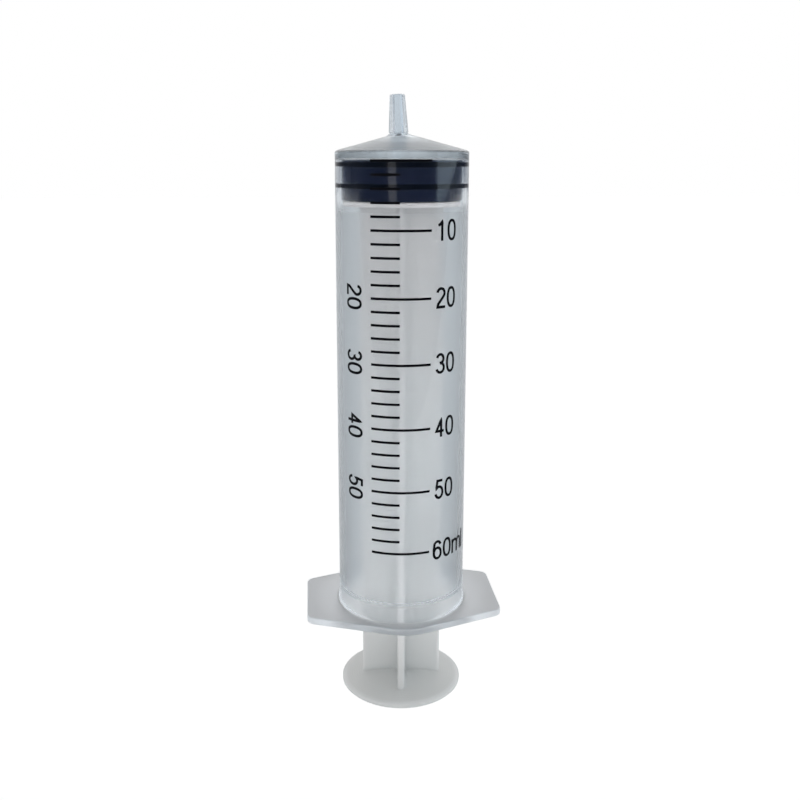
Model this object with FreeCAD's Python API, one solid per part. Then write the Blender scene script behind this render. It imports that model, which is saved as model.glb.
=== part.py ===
import FreeCAD, Part
import math
import os

# A 60 ml three-piece disposable syringe with a plain slip nozzle, standing nozzle up on its
# thumb disc with the plunger pushed fully home. Millimetres, +Z along the barrel to the nozzle,
# the finger flange along X, and the origin on the floor under the centre of the thumb disc.

Vector = FreeCAD.Vector
AXIS_Z = Vector(0, 0, 1)

# Scale printed on the barrel: the bore and the volume of one mark give the spacing of the marks
bore_radius = 14.45
mark_volume = 2000.0
mark_count = 31
marks_per_long_mark = 5
mark_width = 0.5
ink_thickness = 0.04
mark_start_azimuth = -32.0
short_mark_sweep = 25.0
long_mark_sweep = 51.5

# Barrel, its closed conical end and its open mouth
barrel_wall = 1.25
bore_depth = 111.4
head_wall = 2.1
head_angle = 15.3
shoulder_round = 0.6
mouth_flare = 0.55
mouth_flare_length = 5.0
mouth_chamfer = 0.3
bead_height = 0.3
bead_width = 1.6
bead_crest = 0.6

# Finger flange: a flat six-sided plate, widest across the barrel
flange_length = 48.0
flange_end_width = 21.2
flange_middle_width = 39.0
flange_thickness = 1.8
flange_corner_round = 2.5
flange_middle_round = 13.0
flange_edge_chamfer = 0.35
flange_root_round = 0.9

# Tapered slip nozzle, a little off the axis and leaning slightly, with the proportions of the photo
nozzle_length = 8.6
nozzle_tip_diameter = 3.5
nozzle_taper = 0.125
nozzle_bore_diameter = 1.9
nozzle_offset = -0.8
nozzle_lean = 2.0
nozzle_tip_round = 0.3
neck_depth = 0.16
neck_height = 0.3
hub_flare = 0.75
hub_height = 0.6
hub_rise = 0.25

# Rubber stopper: two sealing rings, a waist between them and a conical nose
stopper_length = 9.1
ring_clearance = 0.05
ring_height = 0.95
ring_slope_height = 0.15
rear_ring_height = 3.4
front_ring_height = 8.2
waist_depth = 0.3
skirt_depth = 0.15
nose_gap = 0.45
nose_tip_radius = 5.3
stopper_edge_chamfer = 0.3

# Plunger rod: cross ribs between a dished thumb disc and a flat support disc with a snap head
rod_length = 123.3
rib_reach = 9.9
rib_thickness = 1.7
rib_edge_round = 0.7
rib_root_round = 0.5
rod_turn = -5.5
thumb_disc_radius = 15.2
thumb_disc_rim = 1.15
thumb_disc_rise = 1.6
dish_radius = 14.0
dish_depth = 1.1
rim_chamfer = 0.3
support_disc_radius = 13.9
support_disc_thickness = 1.3
support_disc_chamfer = 0.25
snap_neck_radius = 5.5
snap_neck_length = 2.6
snap_head_radius = 7.2
snap_head_rim = 3.0
snap_head_tip_radius = 6.2
snap_head_length = 4.2
snap_clearance = 0.06

# How far a cutting body runs on past the face that it opens
cut_overrun = 1.0

# Worked out from the sizes above
barrel_radius = bore_radius + barrel_wall
head_slope = math.tan(math.radians(head_angle))
mark_pitch = mark_volume / (math.pi * bore_radius ** 2)
stopper_base = rod_length + snap_clearance
zero_height = stopper_base + stopper_length
waist_radius = bore_radius - ring_clearance - waist_depth
bore_end = zero_height + nose_gap - (bore_radius - waist_radius) * head_slope
mouth_height = bore_end - bore_depth
flange_top = mouth_height + flange_thickness
head_rise = head_wall / math.cos(math.radians(head_angle))
nozzle_base_diameter = nozzle_tip_diameter + nozzle_taper * nozzle_length
neck_radius = nozzle_base_diameter / 2 - neck_depth


def inner_head_height(radius):
    """Height of the inside of the conical end at a distance from the axis."""
    return bore_end + (bore_radius - radius) * head_slope


def outer_head_height(radius):
    """Height of the outside of the conical end at a distance from the axis."""
    return inner_head_height(radius) + head_rise


def rounded_wire(corners, place, smooth):
    """Closed wire through corners (a, b, radius); a rounding is an arc, or two chords of it."""
    count = len(corners)
    ends = []
    for index in range(count):
        before = place(*corners[index - 1][:2])
        corner = place(*corners[index][:2])
        after = place(*corners[(index + 1) % count][:2])
        radius = corners[index][2]
        if radius == 0:
            ends.append((corner, None, corner))
            continue
        to_before = (before - corner).normalize()
        to_after = (after - corner).normalize()
        half_angle = to_before.getAngle(to_after) / 2
        reach = radius / math.tan(half_angle)
        bisector = (to_before + to_after).normalize()
        middle = corner + bisector * (radius / math.sin(half_angle) - radius)
        ends.append((corner + to_before * reach, middle, corner + to_after * reach))
    edges = []
    for index in range(count):
        arc_start, middle, arc_end = ends[index]
        if middle is not None and smooth:
            edges.append(Part.Arc(arc_start, middle, arc_end).toShape())
        elif middle is not None:
            edges.append(Part.LineSegment(arc_start, middle).toShape())
            edges.append(Part.LineSegment(middle, arc_end).toShape())
        next_start = ends[(index + 1) % count][0]
        if arc_end.distanceToPoint(next_start) > 1e-6:
            edges.append(Part.LineSegment(arc_end, next_start).toShape())
    return Part.Wire(edges)


def turned(corners):
    """Solid of revolution about Z from corners (radius, height, rounding)."""
    wire = rounded_wire(corners, lambda radius, height: Vector(radius, 0, height), False)
    return Part.Face(wire).revolve(Vector(0, 0, 0), AXIS_Z, 360)


def plate(corners, bottom, thickness):
    """Flat plate from plan corners (x, y, rounding)."""
    wire = rounded_wire(corners, lambda x, y: Vector(x, y, bottom), True)
    return Part.Face(wire).extrude(AXIS_Z * thickness)


def dome_corners(radius, rise, base, bands):
    """Corners up a shallow round cap, from its rim at height base to its middle."""
    ball_radius = (radius ** 2 + rise ** 2) / (2 * rise)
    half_angle = math.asin(radius / ball_radius)
    corners = []
    for index in range(bands + 1):
        angle = half_angle * (1 - index / bands)
        height = base + rise - ball_radius * (1 - math.cos(angle))
        corners.append((ball_radius * math.sin(angle), height, 0))
    return corners


def make_flange():
    half_length = flange_length / 2
    half_end = flange_end_width / 2
    half_middle = flange_middle_width / 2
    corners = [
        (half_length, -half_end, flange_corner_round),
        (half_length, half_end, flange_corner_round),
        (0, half_middle, flange_middle_round),
        (-half_length, half_end, flange_corner_round),
        (-half_length, -half_end, flange_corner_round),
        (0, -half_middle, flange_middle_round),
    ]
    flange = plate(corners, mouth_height, flange_thickness)
    level_edges = [e for e in flange.Edges if abs(e.BoundBox.ZLength) < 1e-6]
    return flange.makeChamfer(flange_edge_chamfer, level_edges)


def make_nozzle(bored):
    """Nozzle with its hub, or the straight bore through it, set off the axis and leaning."""
    base_radius = nozzle_base_diameter / 2
    tip_radius = nozzle_tip_diameter / 2
    hub_radius = neck_radius + hub_flare
    sunk = head_wall
    if bored:
        bore = nozzle_bore_diameter / 2
        nozzle = turned([
            (0, -sunk - head_wall, 0),
            (bore, -sunk - head_wall, 0),
            (bore, nozzle_length + cut_overrun, 0),
            (0, nozzle_length + cut_overrun, 0),
        ])
    else:
        nozzle = turned([
            (0, -sunk, 0),
            (hub_radius, -sunk, 0),
            (hub_radius, -neck_height - hub_height, 0),
            (neck_radius + hub_rise, -neck_height, 0),
            (neck_radius, -neck_height, 0),
            (neck_radius, 0, 0),
            (base_radius, 0, 0),
            (tip_radius, nozzle_length, nozzle_tip_round),
            (0, nozzle_length, 0),
        ])
    nozzle.rotate(Vector(0, 0, 0), Vector(0, 1, 0), -nozzle_lean)
    seat = outer_head_height(hub_radius) + hub_height + neck_height - hub_rise
    nozzle.translate(Vector(nozzle_offset, 0, seat))
    return nozzle


def make_bore():
    """Everything inside the barrel: flared mouth, retaining bead, bore and conical end."""
    below = mouth_height - cut_overrun
    mouth_radius = bore_radius + mouth_flare
    bead_middle = mouth_height + mouth_flare_length + bead_width / 2
    return turned([
        (0, below, 0),
        (mouth_radius + mouth_chamfer, below, 0),
        (mouth_radius + mouth_chamfer, mouth_height, 0),
        (mouth_radius, mouth_height + mouth_chamfer, 0),
        (bore_radius, bead_middle - bead_width / 2, 0),
        (bore_radius - bead_height, bead_middle - bead_crest / 2, 0),
        (bore_radius - bead_height, bead_middle + bead_crest / 2, 0),
        (bore_radius, bead_middle + bead_width / 2, 0),
        (bore_radius, bore_end, 0),
        (0, inner_head_height(0), 0),
    ])


def make_barrel():
    hub_centre = nozzle_base_diameter / 2
    root_radius = barrel_radius + flange_root_round
    body = turned([
        (0, mouth_height, 0),
        (root_radius, mouth_height, 0),
        (root_radius, flange_top, 0),
        (barrel_radius, flange_top, flange_root_round),
        (barrel_radius, outer_head_height(barrel_radius), shoulder_round),
        (hub_centre, outer_head_height(hub_centre), 0),
        (0, outer_head_height(hub_centre), 0),
    ])
    barrel = body.fuse([make_flange(), make_nozzle(False)])
    return barrel.cut([make_bore(), make_nozzle(True)]).removeSplitter()


def make_stopper():
    seal_radius = bore_radius - ring_clearance
    skirt_radius = seal_radius - skirt_depth
    nose_tip = stopper_length + (waist_radius - nose_tip_radius) * head_slope
    neck_hole = snap_neck_radius + snap_clearance
    socket = snap_head_radius + snap_clearance
    ledge = snap_neck_length - 2 * snap_clearance
    socket_rim = ledge + snap_head_rim + 2 * snap_clearance
    socket_top = ledge + snap_head_length + 3 * snap_clearance
    socket_tip = snap_head_tip_radius + snap_clearance
    lip = ring_height / 2
    slope = ring_slope_height
    local = [
        (neck_hole, 0, 0),
        (skirt_radius - stopper_edge_chamfer, 0, 0),
        (skirt_radius, stopper_edge_chamfer, 0),
        (skirt_radius, rear_ring_height - lip - slope, 0),
        (seal_radius, rear_ring_height - lip, 0),
        (seal_radius, rear_ring_height + lip, 0),
        (waist_radius, rear_ring_height + lip + slope, 0),
        (waist_radius, front_ring_height - lip - slope, 0),
        (seal_radius, front_ring_height - lip, 0),
        (seal_radius, front_ring_height + lip, 0),
        (waist_radius, stopper_length, 0),
        (nose_tip_radius, nose_tip, 0),
        (0, nose_tip, 0),
        (0, socket_top, 0),
        (socket_tip, socket_top, 0),
        (socket, socket_rim, 0),
        (socket, ledge, 0),
        (neck_hole, ledge, 0),
    ]
    return turned([(radius, height + stopper_base, rounding) for radius, height, rounding in local])


def make_thumb_disc():
    """Domed disc with an eased rim, and the shallow dish that is cut from its underside."""
    flat_radius = thumb_disc_radius - rim_chamfer
    disc = turned([
        (0, 0, 0),
        (flat_radius, 0, 0),
        (thumb_disc_radius, rim_chamfer, 0),
        (thumb_disc_radius, thumb_disc_rim - rim_chamfer, 0),
    ] + dome_corners(flat_radius, thumb_disc_rise, thumb_disc_rim, 3))
    dish = turned([(0, -cut_overrun, 0), (dish_radius, -cut_overrun, 0)]
                  + dome_corners(dish_radius, dish_depth, 0, 2))
    return disc, dish


def make_ribs():
    """Two crossed ribs with rounded outer edges and filleted roots, up to the support disc."""
    half = rib_thickness / 2
    corners = []
    for quarter in range(4):
        angle = math.radians(90 * quarter)
        cosine, sine = math.cos(angle), math.sin(angle)
        for x, y, rounding in ((rib_reach, -half, rib_edge_round),
                               (rib_reach, half, rib_edge_round),
                               (half, half, rib_root_round)):
            corners.append((x * cosine - y * sine, x * sine + y * cosine, rounding))
    return plate(corners, 0, rod_length - support_disc_thickness / 2)


def make_support_end():
    """Flat disc that backs the stopper, with the neck and snap head that hold it."""
    head_base = rod_length + snap_neck_length
    disc_base = rod_length - support_disc_thickness
    flat_radius = support_disc_radius - support_disc_chamfer
    return turned([
        (0, disc_base, 0),
        (flat_radius, disc_base, 0),
        (support_disc_radius, disc_base + support_disc_chamfer, 0),
        (support_disc_radius, rod_length - support_disc_chamfer, 0),
        (flat_radius, rod_length, 0),
        (snap_neck_radius, rod_length, 0),
        (snap_neck_radius, head_base, 0),
        (snap_head_radius, head_base, 0),
        (snap_head_radius, head_base + snap_head_rim, 0),
        (snap_head_tip_radius, head_base + snap_head_length, 0),
        (0, head_base + snap_head_length, 0),
    ])


def make_plunger_rod():
    disc, dish = make_thumb_disc()
    rod = disc.fuse([make_ribs(), make_support_end()]).cut(dish).removeSplitter()
    rod.rotate(Vector(0, 0, 0), AXIS_Z, rod_turn)
    return rod


def make_mark(index):
    """One printed line of the scale, a thin film lying on the outside of the barrel."""
    is_long = index % marks_per_long_mark == 0
    sweep = long_mark_sweep if is_long else short_mark_sweep
    bottom = Vector(0, 0, zero_height - index * mark_pitch - mark_width / 2)
    film = Part.makeCylinder(barrel_radius + ink_thickness, mark_width, bottom, AXIS_Z, sweep)
    mark = film.cut(Part.makeCylinder(barrel_radius, mark_width, bottom, AXIS_Z))
    mark.rotate(Vector(0, 0, 0), AXIS_Z, mark_start_azimuth - 90)
    return mark


def make_graduation_marks():
    return Part.makeCompound([make_mark(index) for index in range(mark_count)])


def main():
    os.makedirs("parts", exist_ok=True)
    pieces = {
        "barrel": make_barrel(),
        "graduation_marks": make_graduation_marks(),
        "stopper": make_stopper(),
        "plunger_rod": make_plunger_rod(),
    }
    for name, shape in pieces.items():
        box = shape.BoundBox
        print(name, "solids", len(shape.Solids), "valid", shape.isValid(),
              "volume", round(shape.Volume, 1),
              "z", round(box.ZMin, 3), round(box.ZMax, 3),
              "x", round(box.XMin, 3), round(box.XMax, 3),
              "y", round(box.YMin, 3), round(box.YMax, 3))
        shape.exportStep("parts/" + name + ".step")


main()
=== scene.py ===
# %% [markdown]
# # A 60 ml slip-tip syringe, nozzle up
# The CAD model gives every piece its place: a clear barrel with a six-sided finger flange,
# a rubber stopper pushed fully home, a milky plunger rod and a printed scale. Here each piece
# gets a fine mesh and a finish. All sizes are written in millimetres, and Blender works in
# metres, so one constant turns the first into the second.

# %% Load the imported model
import math
import bpy
import bmesh
from mathutils import Euler, Matrix, Vector


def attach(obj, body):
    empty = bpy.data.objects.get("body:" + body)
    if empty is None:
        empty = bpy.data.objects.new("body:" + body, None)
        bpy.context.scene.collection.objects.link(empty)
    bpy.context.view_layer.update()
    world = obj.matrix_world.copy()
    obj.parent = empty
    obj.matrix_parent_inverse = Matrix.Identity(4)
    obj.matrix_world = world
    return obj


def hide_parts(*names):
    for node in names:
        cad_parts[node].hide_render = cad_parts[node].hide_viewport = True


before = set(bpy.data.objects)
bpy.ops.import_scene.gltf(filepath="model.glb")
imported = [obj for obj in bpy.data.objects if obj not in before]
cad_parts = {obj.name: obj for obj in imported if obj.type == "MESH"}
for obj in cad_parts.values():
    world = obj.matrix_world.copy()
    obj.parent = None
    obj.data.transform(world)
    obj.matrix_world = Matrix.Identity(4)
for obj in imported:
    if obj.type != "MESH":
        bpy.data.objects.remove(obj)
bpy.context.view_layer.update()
MM = 0.001

# %% [markdown]
# ## Sizes that the pieces share
# The bore, the wall and the heights below are those of the CAD source. The conical end of
# the barrel and the nose of the stopper have one slope, so both are worked out from it.

# %% Shared sizes
bore_radius = 14.45
barrel_radius = 15.7
mouth_height = 21.414
flange_top = mouth_height + 1.8
bore_end = 132.814
head_slope = math.tan(math.radians(15.3))
head_rise = 2.1 / math.cos(math.radians(15.3))
zero_height = 132.46
stopper_base = 123.36
mark_pitch = 2000.0 / (math.pi * bore_radius ** 2)


def inner_head_height(radius):
    return bore_end + (bore_radius - radius) * head_slope


def outer_head_height(radius):
    return inner_head_height(radius) + head_rise


print("one mark every", round(mark_pitch, 3), "mm")

# %% [markdown]
# ## Rounded sections
# Real mouldings have no sharp corners, and a highlight needs a small round to catch on. A
# section is therefore drawn as corners with a radius each, and this helper puts an arc in
# every corner. It also adds a point just beside each arc: that keeps the shading of the
# flat next to it flat. Where a section is only one stretch of a longer one, its first and
# last corner show the direction in which it goes on, and are cut off afterwards.

# %% Round the corners of a section
def rounded_section(corners, closed, steps=5, guard=0.07):
    """Points of a section whose corners (a, b, radius) are rounded by arcs."""
    points = []
    count = len(corners)
    for index, (a, b, radius) in enumerate(corners):
        corner = Vector((a, b))
        if radius == 0 or (not closed and index in (0, count - 1)):
            points.append(corner)
            continue
        to_before = (Vector(corners[index - 1][:2]) - corner).normalized()
        to_after = (Vector(corners[(index + 1) % count][:2]) - corner).normalized()
        half = to_before.angle(to_after) / 2
        reach = radius / math.tan(half)
        centre = corner + (to_before + to_after).normalized() * (radius / math.sin(half))
        first = corner + to_before * reach - centre
        last = corner + to_after * reach - centre
        turn = first.angle_signed(last)
        points.append(corner + to_before * (reach + guard))
        for step in range(steps + 1):
            angle = -turn * step / steps
            cosine, sine = math.cos(angle), math.sin(angle)
            points.append(centre + Vector((first.x * cosine - first.y * sine,
                                           first.x * sine + first.y * cosine)))
        points.append(corner + to_after * (reach + guard))
    return points


# %% [markdown]
# ## Meshes from rings
# The barrel, the stopper and the nozzle are stacks of rings. Joining one ring to the next
# with quads gives an even, closed skin, which refracts cleanly, where a CAD mesh of long
# triangles would show its facets. The directions are a little closer together at the
# corners of the flange, so that one list serves the round tube and the six-sided plate.

# %% Directions and ring helpers
flange_end, flange_end_side, flange_peak = 24.0, 10.6, 19.5
fine_step, coarse_step, near_corner = 0.45, 0.8, 5.2
corner_directions = [math.degrees(math.atan2(y, x)) for x in (flange_end, -flange_end)
                     for y in (flange_end_side, -flange_end_side)]
fine_steps = {round(d + s * fine_step, 3) % 360 for d in corner_directions
              for s in range(-11, 12)}
coarse_steps = {s * coarse_step for s in range(round(360 / coarse_step))
                if all(abs((s * coarse_step - d + 180) % 360 - 180) > near_corner
                       for d in corner_directions)}
directions = [math.radians(d) for d in sorted(fine_steps | coarse_steps)]


def round_ring(radius, height):
    return [(radius * math.cos(d), radius * math.sin(d), height) for d in directions]


def mesh_from_rings(name, rings, closed, smooth_angle=32.0):
    """Object whose skin joins each ring to the next; a ring of one point is a pole."""
    mesh = bmesh.new()
    loops = [[mesh.verts.new(Vector(p) * MM) for p in ring] for ring in rings]
    pairs = list(zip(loops, loops[1:]))
    if closed:
        pairs.append((loops[-1], loops[0]))
    for lower, upper in pairs:
        count = max(len(lower), len(upper))
        for index in range(count):
            after = (index + 1) % count
            corners = []
            for vert in (lower[index % len(lower)], lower[after % len(lower)],
                         upper[after % len(upper)], upper[index % len(upper)]):
                if vert not in corners:
                    corners.append(vert)
            mesh.faces.new(corners)
    if mesh.calc_volume(signed=True) < 0:
        bmesh.ops.reverse_faces(mesh, faces=mesh.faces)
    data = bpy.data.meshes.new(name)
    mesh.to_mesh(data)
    mesh.free()
    piece = bpy.data.objects.new(name, data)
    bpy.context.scene.collection.objects.link(piece)
    smooth(piece, smooth_angle)
    print(name, len(data.vertices), "points", len(data.polygons), "faces")
    return piece


def smooth(piece, angle):
    piece.data.shade_smooth()
    piece.data.set_sharp_from_angle(angle=math.radians(angle))


print(len(directions), "directions")

# %% [markdown]
# ## Barrel: the finger flange
# The flange is a flat plate with six rounded corners. A ring at each height follows its
# outline, drawn in by a little where the edge rounds over. The outline is found by looking
# outwards in every direction: first the nearest straight side, then the corner's arc.

# %% Outline of the flange
end_round, peak_round = 2.5, 13.0
flange_corners = []
for way in (1, -1):
    flange_corners += [(way * flange_end, -way * flange_end_side, end_round),
                       (way * flange_end, way * flange_end_side, end_round),
                       (0.0, way * flange_peak, peak_round)]


def flange_reach(direction, inset):
    """Distance from the axis to the flange's outline, drawn in by inset."""
    look = Vector((math.cos(direction), math.sin(direction)))
    count = len(flange_corners)
    sides = []
    for index in range(count):
        here = Vector(flange_corners[index][:2])
        along = (Vector(flange_corners[(index + 1) % count][:2]) - here).normalized()
        normal = Vector((along.y, -along.x))
        sides.append((normal, here.dot(normal)))
    reach = min((far - inset) / normal.dot(look) for normal, far in sides
                if normal.dot(look) > 1e-6)
    for index in range(count):
        radius = flange_corners[index][2]
        before, after = sides[index - 1], sides[index]
        half = before[0].angle(after[0]) / 2
        outward = (before[0] + after[0]).normalized()
        centre = Vector(flange_corners[index][:2]) - outward * (radius / math.cos(half))
        share = look.dot(centre)
        inside = share ** 2 - centre.length_squared + (radius - inset) ** 2
        if inside < 0:
            continue
        arc = share + math.sqrt(inside)
        if (look * arc - centre).normalized().dot(outward) > math.cos(half) and arc > 0:
            reach = arc
    return reach


def flange_ring(inset, height):
    reaches = [flange_reach(d, inset) for d in directions]
    return [(r * math.cos(d), r * math.sin(d), height) for r, d in zip(reaches, directions)]


print("flange reaches", round(flange_reach(0.0, 0.0), 2), "mm along X and",
      round(flange_reach(math.pi / 2, 0.0), 2), "mm along Y")

# %% [markdown]
# ## Barrel: the conical end and the nozzle
# The nozzle stands a little off the axis and leans by two degrees, as on the real moulding.
# Its rings are drawn upright first and then leaned together. Between the shoulder and the
# nozzle the rings slide sideways bit by bit while they stay on the cone. Fine flutes along
# the nozzle leave the faint upright lines that its polished tool gives it.

# %% Rings of the cone and the nozzle
nozzle_offset = -0.8
nozzle_lean = math.radians(2.0)
nozzle_bore = 0.95
hub_radius = 2.8775
nozzle_seat = outer_head_height(hub_radius) + 0.65


def cone_ring(radius, centre, height_at):
    ring = []
    for d in directions:
        x, y = centre + radius * math.cos(d), radius * math.sin(d)
        ring.append((x, y, height_at(math.hypot(x, y))))
    return ring


def nozzle_ring(radius, height, flute=0.0):
    """One ring of the leaning nozzle; flute is the depth of the grooves around it."""
    ring = []
    for d in directions:
        reach = radius - flute * (0.5 - 0.5 * math.cos(26 * d))
        x, y = reach * math.cos(d), reach * math.sin(d)
        ring.append((nozzle_offset + x * math.cos(nozzle_lean) - height * math.sin(nozzle_lean),
                     y, nozzle_seat + height * math.cos(nozzle_lean) + x * math.sin(nozzle_lean)))
    return ring


def nozzle_rings():
    root, tip, top = 2.2875, 1.75, 8.6
    outside = rounded_section([(root + 0.09, -0.3, 0), (root - 0.16, -0.22, 0.1),
                               (root - 0.16, 0.0, 0.08), (root, 0.04, 0.1), (tip, top, 0.3),
                               (nozzle_bore + 0.15, top, 0.12), (nozzle_bore, top - 0.2, 0.1),
                               (nozzle_bore, 0.0, 0)], False, 4, 0.03)
    flutes = [(root - (root - tip) * level / top, level, depth)
              for level, depth in ((0.8, 0.0), (1.6, 0.05), (7.9, 0.05))]
    above_root = next(i for i, (radius, height) in enumerate(outside) if height > 0.3)
    return [nozzle_ring(*ring) for ring in outside[:above_root] + flutes + outside[above_root:]]


print("the nozzle stands on", round(nozzle_seat, 2), "mm")

# %% [markdown]
# ## Barrel: one closed skin
# The section runs once around the wall: out along the flange, up the outside, over the cone,
# up and down the nozzle, and back down the bore. Just above the mouth the bore has a low
# bead that keeps the plunger in, and below it the mouth flares. Because the nozzle is
# hollow, the skin has no pole at all.

# %% Build the barrel
def flange_rings():
    rings = []
    for inset, height in rounded_section([(3.0, mouth_height, 0), (0.0, mouth_height, 0.4),
                                          (0.0, flange_top, 0.4), (3.0, flange_top, 0)],
                                         False)[1:-1]:
        rings.append(flange_ring(inset, height))
    return rings


def wall_rings():
    cone_start, cone_end = 14.8, hub_radius + 0.35
    root = rounded_section([(20.0, flange_top, 0), (barrel_radius, flange_top, 0.9),
                            (barrel_radius, outer_head_height(barrel_radius), 0.6),
                            (8.0, outer_head_height(8.0), 0)], False, 7)[1:-1]
    rings = [round_ring(radius, height) for radius, height in root]
    for share in (0.25, 0.5, 0.75, 0.92):
        radius = cone_start + (cone_end - cone_start) * share
        rings.append(cone_ring(radius, nozzle_offset * share, outer_head_height))
    rings.append(cone_ring(hub_radius, nozzle_offset, outer_head_height))
    return rings


def bore_rings():
    throat = nozzle_offset + math.sin(nozzle_lean) * 2.3
    cone_start, cone_end = 1.3, 13.6
    rings = [cone_ring(r, throat, inner_head_height) for r in (nozzle_bore, cone_start)]
    for share in (0.25, 0.5, 0.75):
        radius = cone_start + (cone_end - cone_start) * share
        rings.append(cone_ring(radius, throat * (1 - share), inner_head_height))
    corner = rounded_section([(8.0, inner_head_height(8.0), 0), (bore_radius, bore_end, 0.35),
                              (bore_radius, 60.0, 0)], False)[1:-1]
    rings += [round_ring(radius, height) for radius, height in corner]
    bead_top, bead_width, bead_height, bead_steps = mouth_height + 6.6, 1.6, 0.3, 24
    for step in range(bead_steps + 1):
        share = step / bead_steps
        bump = bead_height * math.sin(math.pi * share) ** 2
        rings.append(round_ring(bore_radius - bump, bead_top - bead_width * share))
    flare_height, mouth_radius = 5.0, 15.0
    mouth = rounded_section([(bore_radius, mouth_height + flare_height, 0),
                             (mouth_radius, mouth_height, 0.3), (19.0, mouth_height, 0)],
                            False)[1:-1]
    return rings + [round_ring(radius, height) for radius, height in mouth]


skin = flange_rings() + wall_rings() + nozzle_rings() + bore_rings()
barrel = mesh_from_rings("barrel_moulding", skin, True)
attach(barrel, "barrel")
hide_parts("barrel")

# %% [markdown]
# ## Rubber stopper
# The stopper is turned about the axis like the barrel. Its two sealing rings press on the
# bore, and the waist between them keeps a thin gap, through which the wall shows clear at
# both sides of the barrel. All its edges are softly rounded, as moulded rubber is.

# %% Build the stopper
seal, waist, skirt, tip = 14.47, 14.1, 14.25, 5.3
shoulder = 9.1
nose = shoulder + (waist - tip) * head_slope
stopper_section = rounded_section([
    (5.56, 0.0, 0), (skirt, 0.0, 0.35), (skirt, 2.77, 0.05), (seal, 2.92, 0.1),
    (seal, 3.88, 0.1), (waist, 4.03, 0.05), (waist, 7.57, 0.05), (seal, 7.72, 0.1),
    (seal, 8.68, 0.15), (waist, shoulder, 0.15), (tip, nose, 0.4), (0.0, nose, 0)],
    False, 4, 0.02)
socket_section = [(6.26, 6.86), (7.26, 5.6), (7.26, 2.48), (5.56, 2.48)]


def build_stopper():
    """Outside and socket share the ring at the neck hole; each ends in its own pole."""
    rings = [[(0.0, 0.0, stopper_base + socket_section[0][1])]]
    rings += [round_ring(r, stopper_base + z) for r, z in socket_section]
    rings += [round_ring(r, stopper_base + z) for r, z in stopper_section[:-1]]
    rings.append([(0.0, 0.0, stopper_base + nose)])
    return mesh_from_rings("stopper_moulding", rings, False)


stopper = build_stopper()
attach(stopper, "stopper")
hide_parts("stopper")

# %% [markdown]
# ## Plunger rod
# The rod's cross ribs, thumb disc and support disc are one moulding, and the CAD solid has
# them all joined cleanly. A copy of its mesh is merged, so that it shades smoothly around the
# discs and along the rounded ribs, and stays crisp where a rib meets a disc.

# %% Build the rod from the solid's mesh
def merged_copy(node, name, smooth_angle):
    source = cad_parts[node]
    data = source.data.copy()
    data.name = name
    mesh = bmesh.new()
    mesh.from_mesh(data)
    bmesh.ops.remove_doubles(mesh, verts=mesh.verts, dist=0.000002)
    bmesh.ops.dissolve_degenerate(mesh, edges=mesh.edges, dist=0.000002)
    mesh.to_mesh(data)
    mesh.free()
    piece = bpy.data.objects.new(name, data)
    piece.matrix_world = Matrix.Identity(4)
    bpy.context.scene.collection.objects.link(piece)
    smooth(piece, smooth_angle)
    print(name, len(data.vertices), "points", len(data.polygons), "faces")
    return piece


rod = merged_copy("plunger_rod", "rod_moulding", 50.0)
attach(rod, "plunger_rod")
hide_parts("plunger_rod")

# %% [markdown]
# ## A plain material to start from
# Every finish below is a Principled shader. This helper makes one, sets the values that are
# the same all over the surface on the shader's own sockets, and hands back its node tree.

# %% Start a material
def principled_material(name, **values):
    """A material, its node tree, and the inputs of its Principled shader."""
    material = bpy.data.materials.new(name)
    material.use_nodes = True
    inputs = material.node_tree.nodes["Principled BSDF"].inputs
    for socket, value in values.items():
        inputs[socket.replace("_", " ")].default_value = value
    return material, material.node_tree, inputs


def give(piece, material):
    piece.data.materials.clear()
    piece.data.materials.append(material)


print("materials start as", bpy.app.version_string, "Principled shaders")

# %% [markdown]
# ## Short chains of nodes
# A finish that changes over a piece is a chain of small nodes. Each helper below adds one
# node, feeds its inputs with plain values or with the outputs of other nodes, and returns its
# own output. A mask then reads as one line: the value it looks at, and the two places between
# which it changes.

# %% Node helpers
def feed(tree, value, socket):
    if isinstance(value, bpy.types.NodeSocket):
        tree.links.new(value, socket)
    else:
        socket.default_value = value


def calculate(tree, operation, *values):
    node = tree.nodes.new("ShaderNodeMath")
    node.operation = operation
    for value, socket in zip(values, node.inputs):
        feed(tree, value, socket)
    return node.outputs["Value"]


def fade(tree, value, start, end, low=0.0, high=1.0, curve="LINEAR"):
    """Low up to the start, high from the end on, and a ramp in between."""
    node = tree.nodes.new("ShaderNodeMapRange")
    node.interpolation_type = curve
    for label, given in (("Value", value), ("From Min", start), ("From Max", end),
                         ("To Min", low), ("To Max", high)):
        feed(tree, given, node.inputs[label])
    return node.outputs["Result"]


def blend(tree, factor, first, second, kind="RGBA"):
    node = tree.nodes.new("ShaderNodeMix")
    node.data_type = kind
    for label, given in (("Factor", factor), ("A", first), ("B", second)):
        feed(tree, given, node.inputs[label])
    return node.outputs["Result"]


print("four helpers wire the nodes")

# %% [markdown]
# ## Where a point lies
# All pieces of the syringe share one upright axis, so two measures find most places on them:
# the distance from the axis, and the height. The normal's upward part tells a level face from
# an upright one.

# %% Places on a piece
def from_axis(tree):
    """Distance of a point of the surface from the axis."""
    place = tree.nodes.new("ShaderNodeTexCoord")
    flat = tree.nodes.new("ShaderNodeVectorMath")
    flat.operation = "MULTIPLY"
    flat.inputs[1].default_value = (1.0, 1.0, 0.0)
    tree.links.new(place.outputs["Object"], flat.inputs[0])
    reach = tree.nodes.new("ShaderNodeVectorMath")
    reach.operation = "LENGTH"
    tree.links.new(flat.outputs["Vector"], reach.inputs[0])
    return reach.outputs["Value"]


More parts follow.
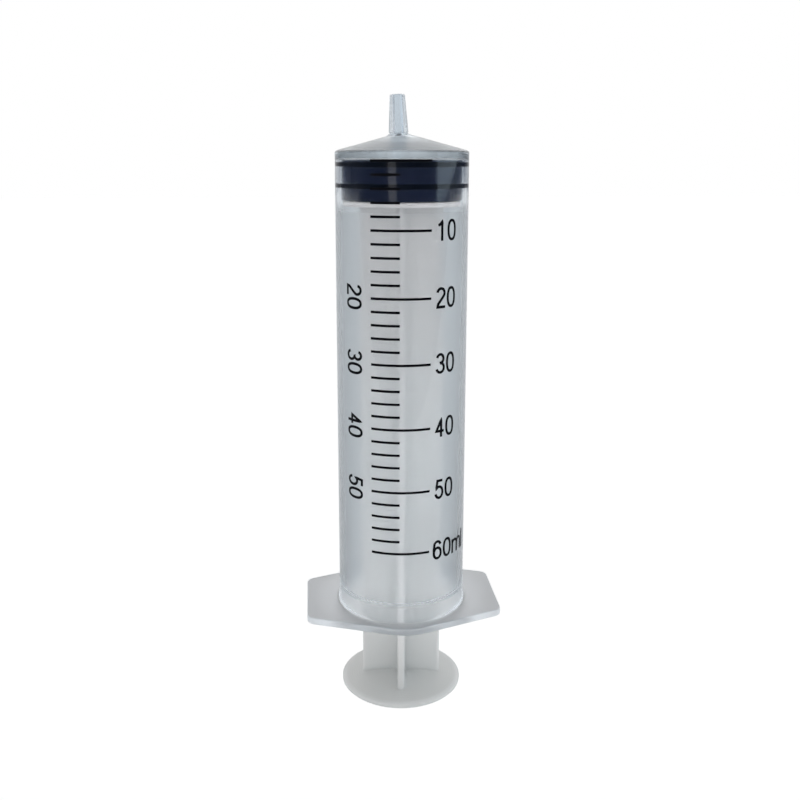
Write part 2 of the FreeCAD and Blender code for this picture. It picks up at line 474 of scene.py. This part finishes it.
def upward(tree, source):
    """Upward part of a point's place (Object), its normal (Normal) or a view (Generated)."""
    place = tree.nodes.new("ShaderNodeTexCoord")
    parts = tree.nodes.new("ShaderNodeSeparateXYZ")
    tree.links.new(place.outputs[source], parts.inputs["Vector"])
    return parts.outputs["Z"]


print("places are found by distance from the axis and by height")

# %% [markdown]
# ## Moulded surface, shared by all the plastics and the rubber
# Injection-moulded parts carry a very fine grain from the tool, and long soft streaks along
# the direction in which the melt flowed and the part left the mould. Both are noise on
# Object coordinates, and the streaks are stretched along the axis. One node group serves
# every material with its own sizes and heights, and hands out a normal.

# %% Node group: moulded surface
def moulded_surface_group():
    group = bpy.data.node_groups.new("moulded_surface", "ShaderNodeTree")
    face = group.interface
    for label, value in (("Grain Size", 900.0), ("Grain Height", 0.02),
                         ("Streak Size", 160.0), ("Streak Height", 0.1)):
        face.new_socket(label, in_out="INPUT", socket_type="NodeSocketFloat").default_value = value
    face.new_socket("Normal", in_out="OUTPUT", socket_type="NodeSocketVector")
    nodes, links = group.nodes, group.links
    given = nodes.new("NodeGroupInput")
    result = nodes.new("NodeGroupOutput")
    place = nodes.new("ShaderNodeTexCoord")
    stretch = nodes.new("ShaderNodeMapping")
    stretch.inputs["Scale"].default_value = (1.0, 1.0, 0.035)
    links.new(place.outputs["Object"], stretch.inputs["Vector"])
    normal = None
    for kind, source, detail, depth in (("Grain", place.outputs["Object"], 3.0, 0.1 * MM),
                                        ("Streak", stretch.outputs["Vector"], 2.0, 0.2 * MM)):
        noise = nodes.new("ShaderNodeTexNoise")
        noise.inputs["Detail"].default_value = detail
        links.new(source, noise.inputs["Vector"])
        links.new(given.outputs[kind + " Size"], noise.inputs["Scale"])
        bump = nodes.new("ShaderNodeBump")
        bump.inputs["Distance"].default_value = depth
        links.new(given.outputs[kind + " Height"], bump.inputs["Strength"])
        links.new(noise.outputs["Fac"], bump.inputs["Height"])
        if normal:
            links.new(normal, bump.inputs["Normal"])
        normal = bump.outputs["Normal"]
    links.new(normal, result.inputs["Normal"])
    return group


moulded_surface = moulded_surface_group()


def mould(tree, inputs, **values):
    """Give a material the moulded surface, with sizes and heights of its own."""
    node = tree.nodes.new("ShaderNodeGroup")
    node.node_tree = moulded_surface
    for label, value in values.items():
        node.inputs[label.replace("_", " ")].default_value = value
    tree.links.new(node.outputs["Normal"], inputs["Normal"])


print("group", moulded_surface.name, "has", len(moulded_surface.nodes), "nodes")

# %% [markdown]
# ## Barrel plastic: clear, with a little depth
# The barrel is clear polypropylene. It bends light as glass does, through a real wall, and a
# volume that absorbs a little light gives it a faint grey-blue depth where it is thick. The
# flange and the nozzle differ from the tube, so a mask marks each of them.

# %% Barrel material
barrel_plastic, plastic, inputs = principled_material(
    "barrel_plastic", IOR=1.49, Transmission_Weight=1.0, Emission_Color=(0.94, 0.97, 1.0, 1.0))
depth = plastic.nodes.new("ShaderNodeVolumeAbsorption")
depth.inputs["Color"].default_value = (0.80, 0.87, 0.90, 1.0)
depth.inputs["Density"].default_value = 20.0
plastic.links.new(depth.outputs["Volume"], plastic.nodes["Material Output"].inputs["Volume"])
mould(plastic, inputs, Grain_Size=7000.0, Grain_Height=0.003,
      Streak_Size=260.0, Streak_Height=0.004)
reach, height = from_axis(plastic), upward(plastic, "Object")
on_flange = fade(plastic, reach, 15.75 * MM, 16.2 * MM)
on_nozzle = fade(plastic, reach, 3.4 * MM, 3.0 * MM)
give(barrel, barrel_plastic)
print("clear plastic, index", inputs["IOR"].default_value)

# %% [markdown]
# ## Barrel plastic: polished and rough places
# The outside is polished. The bore is rougher, which blurs the rod far behind it, but around
# the stopper a film of silicone oil makes it clear, so the rubber shows sharp and dark. Inside
# the conical end the wall is dry again. The flange is frosted, and the nozzle a little dull.

# %% Roughness of the barrel
oiled_bore = fade(plastic, height, 120.5 * MM, 123.2 * MM, 0.32, 0.07)
dry_cone = fade(plastic, height, 132.2 * MM, 133.0 * MM, 0.0, 0.28)
bore_side = calculate(plastic, "MAXIMUM", oiled_bore, dry_cone)
wall = fade(plastic, reach, 15.0 * MM, 15.3 * MM, bore_side, 0.06)
dull_nozzle = blend(plastic, on_nozzle, wall, 0.2, "FLOAT")
frosted_flange = blend(plastic, on_flange, dull_nozzle, 0.4, "FLOAT")
plastic.links.new(frosted_flange, inputs["Roughness"])
print("roughness from 0.06 outside to 0.32 in the bore")

# %% [markdown]
# ## Barrel plastic: tint, and painted light on the flange
# Milky plastic looks greyer the more of it the light crosses, so the thin nozzle is a touch
# paler than the tube. On the flange the tint is painted light and shade instead: the upright
# rim is painted pale, standing in for the light its rounded edge catches, and the level faces
# are painted darker grey.

# %% Tint of the barrel, with painted light on the flange
level_face = calculate(plastic, "ABSOLUTE", upward(plastic, "Normal"))
painted_face_shade = fade(plastic, level_face, 0.3, 0.95)
# Painted light and shade: by the direction of the face, the rim is painted pale and the level faces
# darker grey.
flange_painted_rim_light = blend(plastic, painted_face_shade, (0.92, 0.93, 0.94, 1.0), (0.42, 0.425, 0.435, 1.0))
tube_tint = blend(plastic, on_nozzle, (0.80, 0.835, 0.86, 1.0), (0.82, 0.87, 0.91, 1.0))
tint = blend(plastic, on_flange, tube_tint, flange_painted_rim_light)
plastic.links.new(tint, inputs["Base Color"])
print("tints for the tube, the nozzle, and the rim and faces of the flange")

# %% [markdown]
# ## Barrel plastic: light caught inside
# Light that runs along inside a thick part is scattered there and comes out as a pale shine.
# Such paths are too long to follow, so a faint glow stands in for them, at the flange, the hub
# and the nozzle's neck. It is weaker where the camera sees the surface directly, and full for
# light that has already glanced off something.

# %% Glow of the barrel
path = plastic.nodes.new("ShaderNodeLightPath")
share_seen = fade(plastic, path.outputs["Glossy Depth"], 0.4, 0.6, 0.4, 1.0)
root_to_rim = fade(plastic, reach, 19.0 * MM, 22.5 * MM, 0.19, 0.115)
flange_glow = calculate(plastic, "MULTIPLY", on_flange, root_to_rim)
hub_glow = fade(plastic, reach, 7.5 * MM, 4.0 * MM, 0.0, 0.015)
both_glows = calculate(plastic, "MAXIMUM", flange_glow, hub_glow)
at_neck = calculate(plastic, "COMPARE", height, (nozzle_seat - 0.7) * MM, 0.4 * MM)
all_glows = calculate(plastic, "MULTIPLY_ADD", at_neck, 0.2, both_glows)
glow = calculate(plastic, "MULTIPLY", share_seen, all_glows)
plastic.links.new(glow, inputs["Emission Strength"])
print("barrel plastic has", len(plastic.nodes), "nodes")

# %% [markdown]
# ## Rod plastic
# The rod is milky, unfilled polypropylene with a satin surface. Light goes a little way in
# and comes out again, so its edges are paler than its faces. The thumb disc carries the very
# fine rings of a turned mould: a sine of the distance from the axis draws them, only on the
# disc's upper face. Towards the stopper the stem is painted paler: painted light that makes up
# for the shade it lies in there, under the dark rubber.

# %% Rod material
rod_plastic, milky, inputs = principled_material(
    "rod_plastic", Roughness=0.38, IOR=1.49,
    Subsurface_Weight=1.0, Subsurface_Radius=(1.0, 1.0, 1.0), Subsurface_Scale=0.002)
mould(milky, inputs, Grain_Size=1300.0, Grain_Height=0.12, Streak_Size=220.0, Streak_Height=0.1)
turned_pitch = 0.6
reach, height = from_axis(milky), upward(milky, "Object")
turns = calculate(milky, "MULTIPLY", reach, 2 * math.pi / (turned_pitch * MM))
turned_lines = fade(milky, calculate(milky, "SINE", turns), -1.0, 1.0, 0.7, 1.0)
for mask in (fade(milky, height, 4.0 * MM, 3.4 * MM),
             fade(milky, upward(milky, "Normal"), 0.7, 0.95),
             fade(milky, reach, 14.6 * MM, 13.8 * MM)):
    turned_lines = calculate(milky, "MULTIPLY", turned_lines, mask)
# Painted light: the stem's colour is lifted towards the stopper, where it lies in shade.
painted_light_up_the_stem = fade(milky, height, 60.0 * MM, 120.0 * MM)
stem_tint_and_painted_light = blend(milky, painted_light_up_the_stem, (0.76, 0.785, 0.785, 1.0), (0.90, 0.90, 0.89, 1.0))
rod_tint = blend(milky, turned_lines, stem_tint_and_painted_light, (0.70, 0.72, 0.715, 1.0))
milky.links.new(rod_tint, inputs["Base Color"])
give(rod, rod_plastic)
print("rod plastic has", len(milky.nodes), "nodes")

# %% [markdown]
# ## Rubber
# Butyl rubber is almost black, slightly blue, with a dull sheen. Where the two sealing rings
# press on the bore they are painted darker still: painted shade that stands in for the reflection
# missing there, as no air lies between them and the plastic. A mask on the distance from the
# axis picks out the rings.

# %% Rubber material
stopper_rubber, rubber, inputs = principled_material(
    "stopper_rubber", Roughness=0.2, Specular_IOR_Level=0.3)
mould(rubber, inputs, Grain_Size=1800.0, Grain_Height=0.15, Streak_Size=140.0, Streak_Height=0.05)
painted_ring_shade = fade(rubber, from_axis(rubber), 14.28 * MM, 14.34 * MM)
# Painted shade: the sealing rings are coloured darker than the rest of the rubber.
rubber_tint_and_painted_ring_shade = blend(rubber, painted_ring_shade, (0.011, 0.015, 0.034, 1.0), (0.0008, 0.0015, 0.004, 1.0))
rubber.links.new(rubber_tint_and_painted_ring_shade, inputs["Base Color"])
give(stopper, stopper_rubber)
print("rubber has", len(rubber.nodes), "nodes")

# %% [markdown]
# ## Ink
# The printing ink is black and matt, so that it stays black beside the shining plastic.

# %% Ink material
scale_ink, ink, inputs = principled_material(
    "scale_ink", Base_Color=(0.0015, 0.0015, 0.004, 1.0), Roughness=0.6, Specular_IOR_Level=0.1)
mould(ink, inputs, Grain_Size=2500.0, Grain_Height=0.1, Streak_Size=300.0, Streak_Height=0.0)
print("ink roughness", inputs["Roughness"].default_value)

# %% [markdown]
# ## The printed scale
# Thirty-one lines repeat at one pitch, and every fifth is long: a task for Geometry Nodes.
# A line of points runs down the barrel. Each point gets an arc of ink, swept from a thin
# rectangle, and the index of the point chooses the long arc or the short one.

# %% Geometry Nodes: graduation marks
def graduation_tree():
    tree = bpy.data.node_groups.new("graduation_marks", "GeometryNodeTree")
    face = tree.interface
    sockets = {}
    for label, kind, value in (
            ("Radius", "NodeSocketFloat", 0.0), ("Ink", "NodeSocketFloat", 0.0),
            ("Width", "NodeSocketFloat", 0.0), ("Pitch", "NodeSocketVector", (0, 0, 0)),
            ("First", "NodeSocketVector", (0, 0, 0)), ("Count", "NodeSocketInt", 1),
            ("Marks Per Long Mark", "NodeSocketInt", 1), ("Start", "NodeSocketFloat", 0.0),
            ("Short Sweep", "NodeSocketFloat", 0.0), ("Long Sweep", "NodeSocketFloat", 0.0),
            ("Material", "NodeSocketMaterial", None)):
        socket = face.new_socket(label, in_out="INPUT", socket_type=kind)
        if value is not None:
            socket.default_value = value
        sockets[label] = socket.identifier
    face.new_socket("Geometry", in_out="OUTPUT", socket_type="NodeSocketGeometry")
    nodes, links = tree.nodes, tree.links
    given, result = nodes.new("NodeGroupInput"), nodes.new("NodeGroupOutput")
    section = nodes.new("GeometryNodeCurvePrimitiveQuadrilateral")
    links.new(given.outputs["Ink"], section.inputs["Width"])
    links.new(given.outputs["Width"], section.inputs["Height"])
    points = nodes.new("GeometryNodeMeshLine")
    points.mode = "OFFSET"
    links.new(given.outputs["Count"], points.inputs["Count"])
    links.new(given.outputs["First"], points.inputs["Start Location"])
    links.new(given.outputs["Pitch"], points.inputs["Offset"])
    index = nodes.new("GeometryNodeInputIndex")
    remainder = calculate(tree, "MODULO", index.outputs["Index"],
                          given.outputs["Marks Per Long Mark"])
    joined = nodes.new("GeometryNodeJoinGeometry")
    for sweep, test, steps in (("Short Sweep", "GREATER_THAN", 20), ("Long Sweep", "LESS_THAN", 40)):
        arc = nodes.new("GeometryNodeCurveArc")
        arc.inputs["Resolution"].default_value = steps
        links.new(given.outputs["Radius"], arc.inputs["Radius"])
        links.new(given.outputs["Start"], arc.inputs["Start Angle"])
        links.new(given.outputs[sweep], arc.inputs["Sweep Angle"])
        film = nodes.new("GeometryNodeCurveToMesh")
        film.inputs["Fill Caps"].default_value = True
        links.new(arc.outputs["Curve"], film.inputs["Curve"])
        links.new(section.outputs["Curve"], film.inputs["Profile Curve"])
        copies = nodes.new("GeometryNodeInstanceOnPoints")
        links.new(points.outputs["Mesh"], copies.inputs["Points"])
        links.new(calculate(tree, test, remainder, 0.5), copies.inputs["Selection"])
        links.new(film.outputs["Mesh"], copies.inputs["Instance"])
        links.new(copies.outputs["Instances"], joined.inputs["Geometry"])
    real = nodes.new("GeometryNodeRealizeInstances")
    inked = nodes.new("GeometryNodeSetMaterial")
    links.new(joined.outputs["Geometry"], real.inputs["Geometry"])
    links.new(real.outputs["Geometry"], inked.inputs["Geometry"])
    links.new(given.outputs["Material"], inked.inputs["Material"])
    links.new(inked.outputs["Geometry"], result.inputs["Geometry"])
    return tree, sockets


mark_tree, mark_sockets = graduation_tree()
print("tree", mark_tree.name, "has", len(mark_sockets), "inputs")

# %% Print the marks
ink_low, ink_high = 0.003, 0.04
mark_count, marks_per_long = 31, 5
marks_left, short_sweep, long_sweep = -32.0, 25.0, 51.5
mark_values = {
    "Radius": (barrel_radius + (ink_low + ink_high) / 2) * MM,
    "Ink": (ink_high - ink_low) * MM, "Width": 0.57 * MM,
    "Pitch": (0.0, 0.0, -mark_pitch * MM), "First": (0.0, 0.0, zero_height * MM),
    "Count": mark_count, "Marks Per Long Mark": marks_per_long,
    "Start": math.radians(marks_left - 90.0), "Short Sweep": math.radians(short_sweep),
    "Long Sweep": math.radians(long_sweep), "Material": scale_ink}


def evaluated_piece(name, tree, sockets, values):
    """Plain mesh object from a Geometry Nodes tree."""
    carrier = bpy.data.objects.new(name + "_tree", bpy.data.meshes.new(name + "_empty"))
    bpy.context.scene.collection.objects.link(carrier)
    modifier = carrier.modifiers.new("tree", "NODES")
    modifier.node_group = tree
    for label, value in values.items():
        modifier[sockets[label]] = value
    graph = bpy.context.evaluated_depsgraph_get()
    data = bpy.data.meshes.new_from_object(carrier.evaluated_get(graph))
    data.name = name
    bpy.data.objects.remove(carrier)
    piece = bpy.data.objects.new(name, data)
    bpy.context.scene.collection.objects.link(piece)
    print(name, len(data.vertices), "points", len(data.polygons), "faces")
    return piece


marks = evaluated_piece("scale_marks", mark_tree, mark_sockets, mark_values)
low = [min(v.co[i] for v in marks.data.vertices) / MM for i in range(3)]
high = [max(v.co[i] for v in marks.data.vertices) / MM for i in range(3)]
print("marks span", [round(v, 2) for v in low], [round(v, 2) for v in high])
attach(marks, "barrel")
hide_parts("graduation_marks")

# %% [markdown]
# ## The numbers
# Numbers stand beside the long lines, and a second column, turned to be read along the
# barrel, stands to the left. Every character is drawn as the centre line of a pen, in
# millimetres, in a box four and a quarter high. The pen has one width, so a line that is
# widened to both sides gives a stroke, and its points are then wrapped around the barrel.

# %% Centre lines of the characters
def bow(centre, reach, start, end, power=1.0, steps=20):
    """Points along an oval between two angles in degrees; a power below 1 squares it up."""
    points = []
    for step in range(steps + 1):
        angle = math.radians(start + (end - start) * step / steps)
        across, up = math.cos(angle), math.sin(angle)
        points.append((centre[0] + reach[0] * math.copysign(abs(across) ** power, across),
                       centre[1] + reach[1] * math.copysign(abs(up) ** power, up)))
    return points


character_height, character_gap, side_margin = 4.25, 1.0, 0.25
# Each character: its width between centre lines, and its strokes as (points, is it a loop)
characters = {
    "0": (2.15, [(bow((1.075, 2.12), (1.075, 2.12), 0, 345, 0.85, 47), True)]),
    "1": (2.0, [([(0.1, 3.2), (0.7, 3.52), (1.12, 4.1), (1.12, -0.25)], False)]),
    "2": (2.0, [(bow((1.0, 3.2), (0.98, 1.05), 172, -25) + [(1.5, 2.2), (0.8, 1.4), (0.2, 0.7),
                 (0.05, 0.0), (2.2, 0.0)], False)]),
    "3": (2.0, [(bow((0.97, 3.22), (0.9, 1.03), 165, -80)
                 + bow((0.97, 1.12), (1.03, 1.12), 82, -165), False)]),
    "4": (2.0, [([(1.4, -0.25), (1.4, 4.0), (0.06, 1.2), (2.2, 1.2)], False)]),
    "5": (2.0, [([(1.95, 4.25), (0.5, 4.25), (0.2, 2.25)]
                 + bow((0.98, 1.38), (1.02, 1.38), 135, -165), False)]),
    "6": (2.0, [(bow((1.0, 3.05), (0.95, 1.2), 20, 150) + [(0.0, 2.3)]
                 + bow((1.0, 1.32), (1.0, 1.32), 190, 525, 0.95, 40), False)]),
    "m": (3.8, [([(0.0, -0.25), (0.0, 3.3)], False),
                ([(0.0, 2.0)] + bow((0.95, 2.1), (0.95, 0.95), 170, 0) + [(1.9, -0.25)], False),
                ([(1.9, 2.0)] + bow((2.85, 2.1), (0.95, 0.95), 170, 0) + [(3.8, -0.25)], False)]),
    "l": (0.0, [([(0.0, -0.25), (0.0, 4.5)], False)])}
print("characters", "".join(characters))

# %% [markdown]
# ## Ink strokes
# A stroke becomes a closed ribbon: four points at every step of its centre line, two to each
# side, one on the barrel and one on top of the ink. Long lines are first cut into short steps,
# so that a ribbon follows the curve of the barrel and never sinks into it.

# %% Strokes wrapped on the barrel
def short_steps(line, closed, longest=0.35):
    pairs = list(zip(line, line[1:] + line[:1])) if closed else list(zip(line, line[1:]))
    points = []
    for here, after in pairs:
        here, after = Vector(here), Vector(after)
        count = max(1, math.ceil((after - here).length / longest))
        points += [here.lerp(after, step / count) for step in range(count)]
    return points if closed else points + [Vector(line[-1])]


def add_stroke(mesh, line, closed, place, width=0.64):
    """Ribbon of even width along a centre line; place(x, y, lift) puts a point on the barrel."""
    points = short_steps(line, closed)
    count = len(points)
    sections = []
    for index, here in enumerate(points):
        before = points[index - 1] if closed or index else here
        after = points[(index + 1) % count] if closed or index < count - 1 else here
        first = (here - before) if here != before else (after - here)
        last = (after - here) if here != after else first
        first, last = first.normalized(), last.normalized()
        side = Vector((-(first + last).y, (first + last).x)).normalized()
        side *= width / 2 / max(0.6, side.dot(Vector((-first.y, first.x))))
        sections.append([mesh.verts.new(place(*(here + side * way), lift))
                         for way, lift in ((1, ink_low), (1, ink_high), (-1, ink_high),
                                           (-1, ink_low))])
    pairs = list(zip(sections, sections[1:])) + ([(sections[-1], sections[0])] if closed else [])
    for one, two in pairs:
        for edge in range(4):
            mesh.faces.new((one[edge - 1], one[edge], two[edge], two[edge - 1]))
    if not closed:
        mesh.faces.new(sections[0])
        mesh.faces.new(sections[-1][::-1])


def add_number(mesh, text, azimuth, level, turned):
    """Text whose left end stands at the azimuth, or whose top does when it is turned."""
    start = side_margin
    for character in text:
        width, strokes = characters[character]

        def place(x, y, lift):
            if turned:
                along, up = y + side_margin, -(x + start)
            else:
                along, up = x + start, y - character_height / 2
            angle = math.radians(azimuth) + along / barrel_radius
            reach = barrel_radius + lift
            return Vector((reach * math.sin(angle), -reach * math.cos(angle), level + up)) * MM

        for line, closed in strokes:
            add_stroke(mesh, line, closed, place)
        start += width + character_gap


print("a 4 mm line is cut into", len(short_steps([(0.0, 0.0), (4.0, 0.0)], False)) - 1, "steps")

# %% [markdown]
# ## Where the numbers stand
# The numbers 10 to 50 and the last one with its unit stand to the right of the long lines.
# The column on the left holds plain numbers, turned to be read downwards.

# %% Print the numbers
right_column, unit_column, left_column, left_raised = 24.5, 23.3, -58.4, 2.8
printed = bmesh.new()
for tens in range(1, 7):
    level = zero_height - marks_per_long * tens * mark_pitch
    if tens == 6:
        add_number(printed, "60ml", unit_column, level, False)
    else:
        add_number(printed, str(10 * tens), right_column, level, False)
    if 2 <= tens <= 5:
        add_number(printed, str(10 * tens), left_column, level + left_raised, True)
bmesh.ops.recalc_face_normals(printed, faces=printed.faces)
data = bpy.data.meshes.new("scale_numbers")
printed.to_mesh(data)
printed.free()
numbers = bpy.data.objects.new("scale_numbers", data)
bpy.context.scene.collection.objects.link(numbers)
smooth(numbers, 40.0)
give(numbers, scale_ink)
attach(numbers, "barrel")
print("numbers", len(data.polygons), "faces")

# %% [markdown]
# ## Camera
# The photograph was taken from a little above the zero line, 22 cm away, and the vertical
# lines of the barrel fix the tilt. The lens and the shift below come from the graduation
# marks, whose spacing on the barrel is known. Both were measured in dots of the picture,
# which is 800 dots wide.

# %% Camera at the photograph's place
picture_width, centre_row, focal_length = 800, 345, 920.74
camera = bpy.data.objects.new("camera", bpy.data.cameras.new("camera"))
bpy.context.scene.collection.objects.link(camera)
camera.location = Vector((-21.428, -218.54, zero_height + 0.591)) * MM
tilt = Euler((math.radians(90 - 11.494), 0.0, math.radians(-5.5))).to_matrix()
camera.rotation_euler = (tilt @ Matrix.Rotation(math.radians(0.0925), 3, "Z")).to_euler()
camera.data.sensor_width = 36.0
camera.data.lens = camera.data.sensor_width * focal_length / picture_width
camera.data.shift_y = (centre_row - picture_width / 2) / picture_width
camera.data.clip_start = 0.01
bpy.context.scene.camera = camera
print("lens", round(camera.data.lens, 2), "mm")

# %% [markdown]
# ## Floor
# The floor is plain and pale. A glow that only the camera and the light through the clear
# plastic see lifts it to the white of the photograph, without lighting the syringe. The
# syringe stands on its thumb disc, so the floor goes with the plunger rod when that moves.
# It ends just under the camera: more of it in front would be mirrored in the rubber as grey.

# %% Floor
floor_side, floor_front = 3.0, -0.25
floor_mesh = bpy.data.meshes.new("floor")
floor_mesh.from_pydata([(-floor_side, floor_front, 0), (floor_side, floor_front, 0),
                        (floor_side, floor_side, 0), (-floor_side, floor_side, 0)],
                       [], [(0, 1, 2, 3)])
floor = bpy.data.objects.new("floor", floor_mesh)
bpy.context.scene.collection.objects.link(floor)
floor_material, pale, inputs = principled_material(
    "floor", Base_Color=(0.8, 0.8, 0.8, 1.0), Roughness=0.9, Specular_IOR_Level=0.1,
    Emission_Color=(1.0, 1.0, 1.0, 1.0))
path = pale.nodes.new("ShaderNodeLightPath")
through_plastic = calculate(pale, "MULTIPLY", path.outputs["Is Transmission Ray"], 0.43)
seen = calculate(pale, "MAXIMUM", path.outputs["Is Camera Ray"], through_plastic)
pale.links.new(fade(pale, seen, 0.0, 1.0, 0.2, 0.64), inputs["Emission Strength"])
give(floor, floor_material)
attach(floor, "plunger_rod")
print("floor ready, under the thumb disc")

# %% [markdown]
# ## World
# To the camera the world is plain white. Light that has glanced off a surface sees a studio
# instead: a white backdrop and ceiling behind and above, and a dim bluish room in front. That
# keeps the rubber and the ink dark, and gives the conical end its sheen. Light caught inside
# the clear plastic, which glances again and again, comes out pale. Inside the barrel a little
# more light reaches the rod, as the milky wall spreads it.

# %% World
def grey(value):
    return (value, value, value, 1.0)


world = bpy.data.worlds.new("studio")
bpy.context.scene.world = world
world.use_nodes = True
studio = world.node_tree
path = studio.nodes.new("ShaderNodeLightPath")
glanced = calculate(studio, "GREATER_THAN", path.outputs["Glossy Depth"], 0.5)
caught = calculate(studio, "GREATER_THAN", path.outputs["Glossy Depth"], 1.5)
spread = calculate(studio, "GREATER_THAN", path.outputs["Diffuse Depth"], 0.5)
lights_rod = calculate(studio, "MULTIPLY", spread, path.outputs["Is Transmission Ray"])
where = studio.nodes.new("ShaderNodeTexCoord")
behind = studio.nodes.new("ShaderNodeVectorMath")
behind.operation = "DOT_PRODUCT"
behind.inputs[1].default_value = (0.0, 0.6, 0.8)
studio.links.new(where.outputs["Generated"], behind.inputs[0])
backdrop = fade(studio, behind.outputs["Value"], 0.3, 0.75, curve="SMOOTHSTEP")
room = blend(studio, backdrop, (0.02, 0.04, 0.09, 1.0), grey(1.0))
light = blend(studio, upward(studio, "Generated"), grey(0.9), grey(0.22))
light = blend(studio, lights_rod, light, (3.0, 2.7, 2.6, 1.0))
light = blend(studio, path.outputs["Is Camera Ray"], light, grey(1.0))
light = blend(studio, glanced, light, room)
light = blend(studio, caught, light, (0.72, 0.77, 0.82, 1.0))
studio.links.new(light, studio.nodes["Background"].inputs["Color"])
print("world has", len(studio.nodes), "nodes")

# %% [markdown]
# ## Lamps
# A tall soft window on the right draws the pale upright band on the tube, a narrow one on
# the left a fainter band, and a broad lamp above lights the thumb disc and the floor.

# %% Lamps
lamp_aim = Vector((0.0, 0.0, 0.08))


def soft_lamp(name, azimuth, distance, height, width, tall, power, colour=(1.0, 1.0, 1.0)):
    """Rectangle of light; azimuth 0 is in front of the syringe, and 90 on its right."""
    light = bpy.data.lights.new(name, "AREA")
    light.shape = "RECTANGLE"
    light.size, light.size_y = width, tall
    light.energy = power
    light.color = colour
    lamp = bpy.data.objects.new(name, light)
    angle = math.radians(azimuth)
    lamp.location = (distance * math.sin(angle), -distance * math.cos(angle), height)
    lamp.rotation_euler = (lamp_aim - lamp.location).to_track_quat("-Z", "Z").to_euler()
    bpy.context.scene.collection.objects.link(lamp)


soft_lamp("right_window", 84.0, 0.9, 0.25, 0.3, 1.0, 1.05, (0.75, 0.9, 1.0))
soft_lamp("left_window", -27.0, 1.1, 0.3, 0.25, 1.0, 0.45)
soft_lamp("overhead", 20.0, 0.4, 1.1, 0.8, 0.8, 0.08)
print("three lamps")

# %% [markdown]
# ## Colours as they are
# The Standard view keeps white white and black black, as on the photograph's plain page.

# %% Colours as they are
scene = bpy.context.scene
scene.view_settings.view_transform = "Standard"
print("view", scene.view_settings.view_transform)
